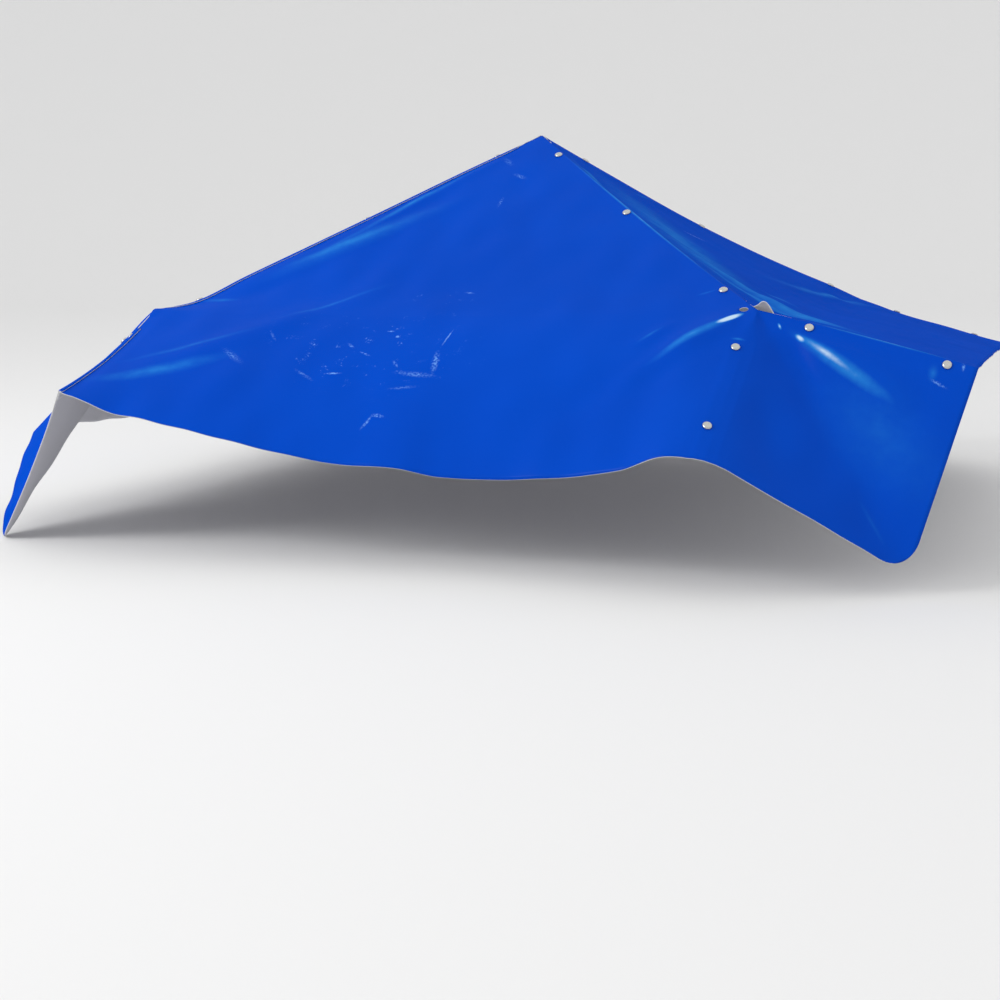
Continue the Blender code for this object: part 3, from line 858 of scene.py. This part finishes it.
def marked(paint, cut, marks):
    """How strongly a place is marked: a sum of soft ellipses on the cut."""
    total = 0.0
    for mark in marks:
        (x0, y0), (x1, y1) = mark.start, mark.end
        middle = ((x0 + x1) / 2, (y0 + y1) / 2, SIDES.index(mark.sheet))
        turn = (0, 0, math.atan2(y1 - y0, x1 - x0))
        size = (math.hypot(x1 - x0, y1 - y0) / 2 + mark.width, mark.width, 0.4)
        place = {"Vector": cut, "Location": middle, "Rotation": turn, "Scale": size}
        local = paint.add("ShaderNodeMapping", {"vector_type": "TEXTURE"}, place)
        spot = paint.add("ShaderNodeTexGradient", {"gradient_type": "SPHERICAL"}, {"Vector": local}, 1)
        total = spot * mark.strength + total
    return total


# The count includes the painted highlights and sheen.
print(len(SHEEN_AND_DUST_MARKS) + len(SCUFFS) + len(SPECKLED), "marks of wear")

# %% [markdown]
# Three finishes share one sheet through material slots. The outer skin mixes its
# blues by the scuffs, the dust and the painted highlights and sheen, under a thin
# clear gloss. That gloss is weaker on the panels that the camera sees at a
# glancing angle, where it would turn them white.

# %% Outer skin
BLUE = (0.000, 0.060, 0.500, 1)
DEEP_BLUE = (0.000, 0.055, 0.470, 1)
# The next two blues are painted light: a pale painted sheen, partly dust, and whitish painted highlight
# cores.
SHEEN_AND_DUST_BLUE = (0.015, 0.185, 0.600, 1)
PAINTED_HIGHLIGHT_BLUE = (0.520, 0.680, 0.850, 1)
SCUFF_BLUE = (0.130, 0.310, 0.760, 1)


def outer_skin():
    paint = Paint("blue_skin")
    cut = paint.add("ShaderNodeAttribute", {"attribute_name": "cut"}, output=1)
    clouds = paint.noise(cut, 3.0, 3.0)
    grain = paint.noise(cut, 260.0, 4.0, 0.7)
    worn = paint.noise(cut, 45.0, 4.0, 0.6)
    # Painted highlights and sheen, partly dust, broken up by noise.
    sheen_and_dust = marked(paint, cut, SHEEN_AND_DUST_MARKS) * (0.5 + worn)
    scuff = marked(paint, cut, SCUFFS) * paint.ramp(grain, 0.40, 0.58)
    speckle = marked(paint, cut, SPECKLED) * paint.ramp(worn, 0.55, 0.68) * paint.ramp(grain, 0.50, 0.62)
    colour = paint.blend(paint.ramp(clouds, 0.35, 0.65), BLUE, DEEP_BLUE)
    # A pale blue painted sheen, partly dust.
    colour = paint.blend(paint.ramp(sheen_and_dust, 0.0, 0.8), colour, SHEEN_AND_DUST_BLUE)
    # Whitish painted highlight cores where the painted sheen is strongest.
    colour = paint.blend(paint.ramp(sheen_and_dust, 0.6, 2.0), colour, PAINTED_HIGHLIGHT_BLUE)
    colour = paint.blend(paint.ramp(scuff + speckle, 0.0, 1.0), colour, SCUFF_BLUE)
    rough = 0.55 + 0.10 * worn
    side = paint.add("ShaderNodeSeparateXYZ", None, {"Vector": cut}, 2)
    coat = 0.07 - 0.04 * side.maths("MINIMUM", side, 1.0)
    relief = {"Strength": 0.25, "Distance": 0.0008, "Height": grain}
    normal = paint.add("ShaderNodeBump", None, relief)
    return paint.finish(Base_Color=colour, Roughness=rough, Specular_IOR_Level=0.0, Normal=normal,
                        Coat_Weight=coat, Coat_Roughness=0.26)


blue_skin = outer_skin()
print("outer skin:", len(blue_skin.node_tree.nodes), "nodes")

# %% Underside and cut edge
def underside():
    paint = Paint("grey_underside")
    return paint.finish(Base_Color=(0.57, 0.57, 0.63, 1), Roughness=0.6)


def cut_edge():
    paint = Paint("cut_edge")
    return paint.finish(Base_Color=(0.62, 0.62, 0.60, 1), Roughness=0.8)


skins = [blue_skin, underside(), cut_edge()]
print("skins:", [skin.name for skin in skins])

# %% [markdown]
# ## From sheets to cloth
#
# A Solidify modifier gives the open sheets their thickness, inwards from the
# outer face, and its material offsets give the underside and the rim their own
# finishes. Each cloth then hides the panel of the frame that it stands for.


def dressed(name, mesh, materials):
    """A finished object from a mesh, at the origin."""
    data = bpy.data.meshes.new(name)
    mesh.to_mesh(data)
    for material in materials:
        data.materials.append(material)
    data.shade_smooth()
    made = bpy.data.objects.new(name, data)
    bpy.context.collection.objects.link(made)
    return made


cloths = []
for side, sheet in enumerate(sheets):
    cloth = dressed(f"{SIDES[side]}_cloth", sheet, skins)
    wall = cloth.modifiers.new("cloth thickness", "SOLIDIFY")
    wall.thickness = CLOTH
    wall.offset = -1
    wall.material_offset = 1
    wall.material_offset_rim = 2
    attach(cloth, "root")
    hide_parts(f"{SIDES[side]}_panel")
    cloths.append(cloth)
print("cloths:", [cloth.name for cloth in cloths])

# %% [markdown]
# ## Press studs
#
# A press stud's cap is a thin metal shell rolled over at its rim, with a shallow
# dent where the setting tool pressed, on a shank that passes through the plies to
# a back plate. It is turned: one profile, spun about its axis.

# %% Stud shape
CAP_RADIUS = 0.0075
CAP_HEIGHT = 0.0034
SHANK_RADIUS = 0.0024
BASE_RADIUS = 0.0055
BASE_HEIGHT = 0.0010
STUD_STEPS = 32
STUD_INSET = 0.013      # stud centre to its hip, along the row, or to its fold line
SEAM_INSET = 0.0105     # stud centre to its flap seam
HIP_STUDS = (0.13, 0.48, 0.90)
SEAM_STUDS = (0.25, 0.87)
FOLD_STUDS = (0.27, 0.80)
SEAT = 0.0004           # air between a stud and the cloth, above and below


def stud_profile(plies):
    """Radius and height of a stud, from its top down to its back plate."""
    depth = plies * CLOTH + (plies - 1) * PLY_GAP + 2 * SEAT
    cap = [(0.0, 0.80), (0.30, 0.82), (0.48, 0.98), (0.62, 1.0), (0.78, 0.90),
           (0.92, 0.62), (1.0, 0.32), (0.985, 0.10), (0.93, 0.0)]
    rings = [(radius * CAP_RADIUS, height * CAP_HEIGHT) for radius, height in cap]
    rings += [(SHANK_RADIUS, 0.0), (SHANK_RADIUS, -depth), (BASE_RADIUS * 0.95, -depth),
              (BASE_RADIUS, -depth - BASE_HEIGHT * 0.4),
              (BASE_RADIUS * 0.85, -depth - BASE_HEIGHT), (0.0, -depth - BASE_HEIGHT)]
    return rings


def stud_mesh(plies, place):
    mesh = bmesh.new()
    verts = [mesh.verts.new((radius, 0, height)) for radius, height in stud_profile(plies)]
    edges = [mesh.edges.new(pair) for pair in zip(verts, verts[1:])]
    bmesh.ops.spin(mesh, geom=verts + edges, cent=(0, 0, 0), axis=(0, 0, 1),
                   angle=math.tau, steps=STUD_STEPS, use_merge=True)
    bmesh.ops.remove_doubles(mesh, verts=mesh.verts, dist=TAUT)
    bmesh.ops.recalc_face_normals(mesh, faces=mesh.faces)
    bmesh.ops.transform(mesh, matrix=place, verts=mesh.verts)
    return mesh


def stud_metal():
    paint = Paint("plated_metal")
    place = paint.add("ShaderNodeTexCoord", output=3)
    rough = 0.20 + 0.15 * paint.noise(place, 400.0, 3.0)
    return paint.finish(Base_Color=(0.55, 0.55, 0.53, 1), Roughness=rough, Metallic=1.0)


metal = stud_metal()
print("stud cap", CAP_RADIUS * 2000, "mm across")

# %% [markdown]
# Seven studs sit round each corner tip: three along the hip, two along the flap
# seam and two along the fold. Ridges lift the cloth a little, so each stud takes
# its seat and its direction from the nearest point of the finished sheet.

# %% Set the studs
def one(place, side, along, level):
    """A single point of a surface function."""
    return Vector(place(side, np.array([float(along)]), np.array([float(level)]))[0])


def stud_spots(corner):
    """Name, nominal point and number of plies of the studs round one corner tip."""
    for number, share in enumerate(HIP_STUDS, 1):
        along = row_width(share) - STUD_INSET * lap_scale(share)
        yield f"hip_{number}", one(panel, corner, along, share), 2
    for number, share in enumerate(SEAM_STUDS, 1):
        yield f"seam_{number}", one(gusset, corner, SEAM_INSET / FLAP, share), 2
    for number, share in enumerate(FOLD_STUDS, 1):
        yield f"fold_{number}", one(panel, corner, row_width(1) - STUD_INSET, 1 + share), 1


for corner, name in enumerate(CORNERS):
    tree = BVHTree.FromBMesh(sheets[corner])
    for spot, nominal, plies in stud_spots(corner):
        point, normal, _, _ = tree.find_nearest(nominal)
        turn = normal.to_track_quat("Z", "Y").to_matrix().to_4x4()
        place = Matrix.Translation(point + normal * SEAT) @ turn
        stud = dressed(f"press_stud_{name}_{spot}", stud_mesh(plies, place), [metal])
        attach(stud, "root")
        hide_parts(f"stud_{name}_{spot}")
print("studs set:", 7 * len(CORNERS))

# %% [markdown]
# ## Floor and light
#
# The pale floor lies just under the lowest corner. Far away it curves up like a
# studio backdrop, so no horizon cuts through behind the cover.

# %% Floor
FLOOR_LEVEL = cad_box[0].z - 0.003
FLOOR_RADIUS = 9.0
CURVE_RADIUS = 6.0      # of the rim, which curves up
CURVE_STEPS, FLOOR_STEPS = 24, 96

mesh = bmesh.new()
arc = [math.radians(90 * n / CURVE_STEPS) for n in range(CURVE_STEPS + 1)]
profile = [(0.0, 0.0)] + [(FLOOR_RADIUS + CURVE_RADIUS * math.sin(a), CURVE_RADIUS * (1 - math.cos(a)))
                          for a in arc]
verts = [mesh.verts.new((radius, 0, FLOOR_LEVEL + height)) for radius, height in profile]
edges = [mesh.edges.new(pair) for pair in zip(verts, verts[1:])]
bmesh.ops.spin(mesh, geom=verts + edges, cent=(0, 0, 0), axis=(0, 0, 1),
               angle=math.tau, steps=FLOOR_STEPS, use_merge=True)
bmesh.ops.remove_doubles(mesh, verts=mesh.verts, dist=TAUT)
bmesh.ops.recalc_face_normals(mesh, faces=mesh.faces)
floor_paint = Paint("pale_floor")
pale = floor_paint.finish(Base_Color=(0.80, 0.80, 0.80, 1), Roughness=1.0, Specular_IOR_Level=0.0)
floor = dressed("floor", mesh, [pale])
print("floor at", round(FLOOR_LEVEL, 3))

# %% [markdown]
# An even white sky fills the shadows, as on an overcast day, and one soft lamp
# gives the light a direction. It stands low at the front left, where it lights
# the front panel without a glare on the flap.

# %% Sky and lights
SKY_STRENGTH = 0.95
LAMP_AT, LAMP_TOWARDS = (-3.2, -3.6, 1.7), (0, 0, -0.4)
LAMP_SIZE = 2.0         # metres
LAMP_POWER = 110        # watts


def area_light(name, at, towards, size, watts):
    light = bpy.data.lights.new(name, "AREA")
    light.energy, light.size = watts, size
    lamp = bpy.data.objects.new(name, light)
    lamp.location = at
    lamp.rotation_euler = (Vector(towards) - Vector(at)).to_track_quat("-Z", "Y").to_euler()
    bpy.context.collection.objects.link(lamp)
    return lamp


world = bpy.data.worlds.new("pale_sky")
bpy.context.scene.world = world
world.use_nodes = True
background = world.node_tree.nodes["Background"]
background.inputs["Color"].default_value = (1.0, 1.0, 1.0, 1)
background.inputs["Strength"].default_value = SKY_STRENGTH
area_light("key_lamp", LAMP_AT, LAMP_TOWARDS, LAMP_SIZE, LAMP_POWER)
bpy.context.scene.view_settings.view_transform = "Standard"
print("lights:", [o.name for o in bpy.context.scene.objects if o.type == "LIGHT"])
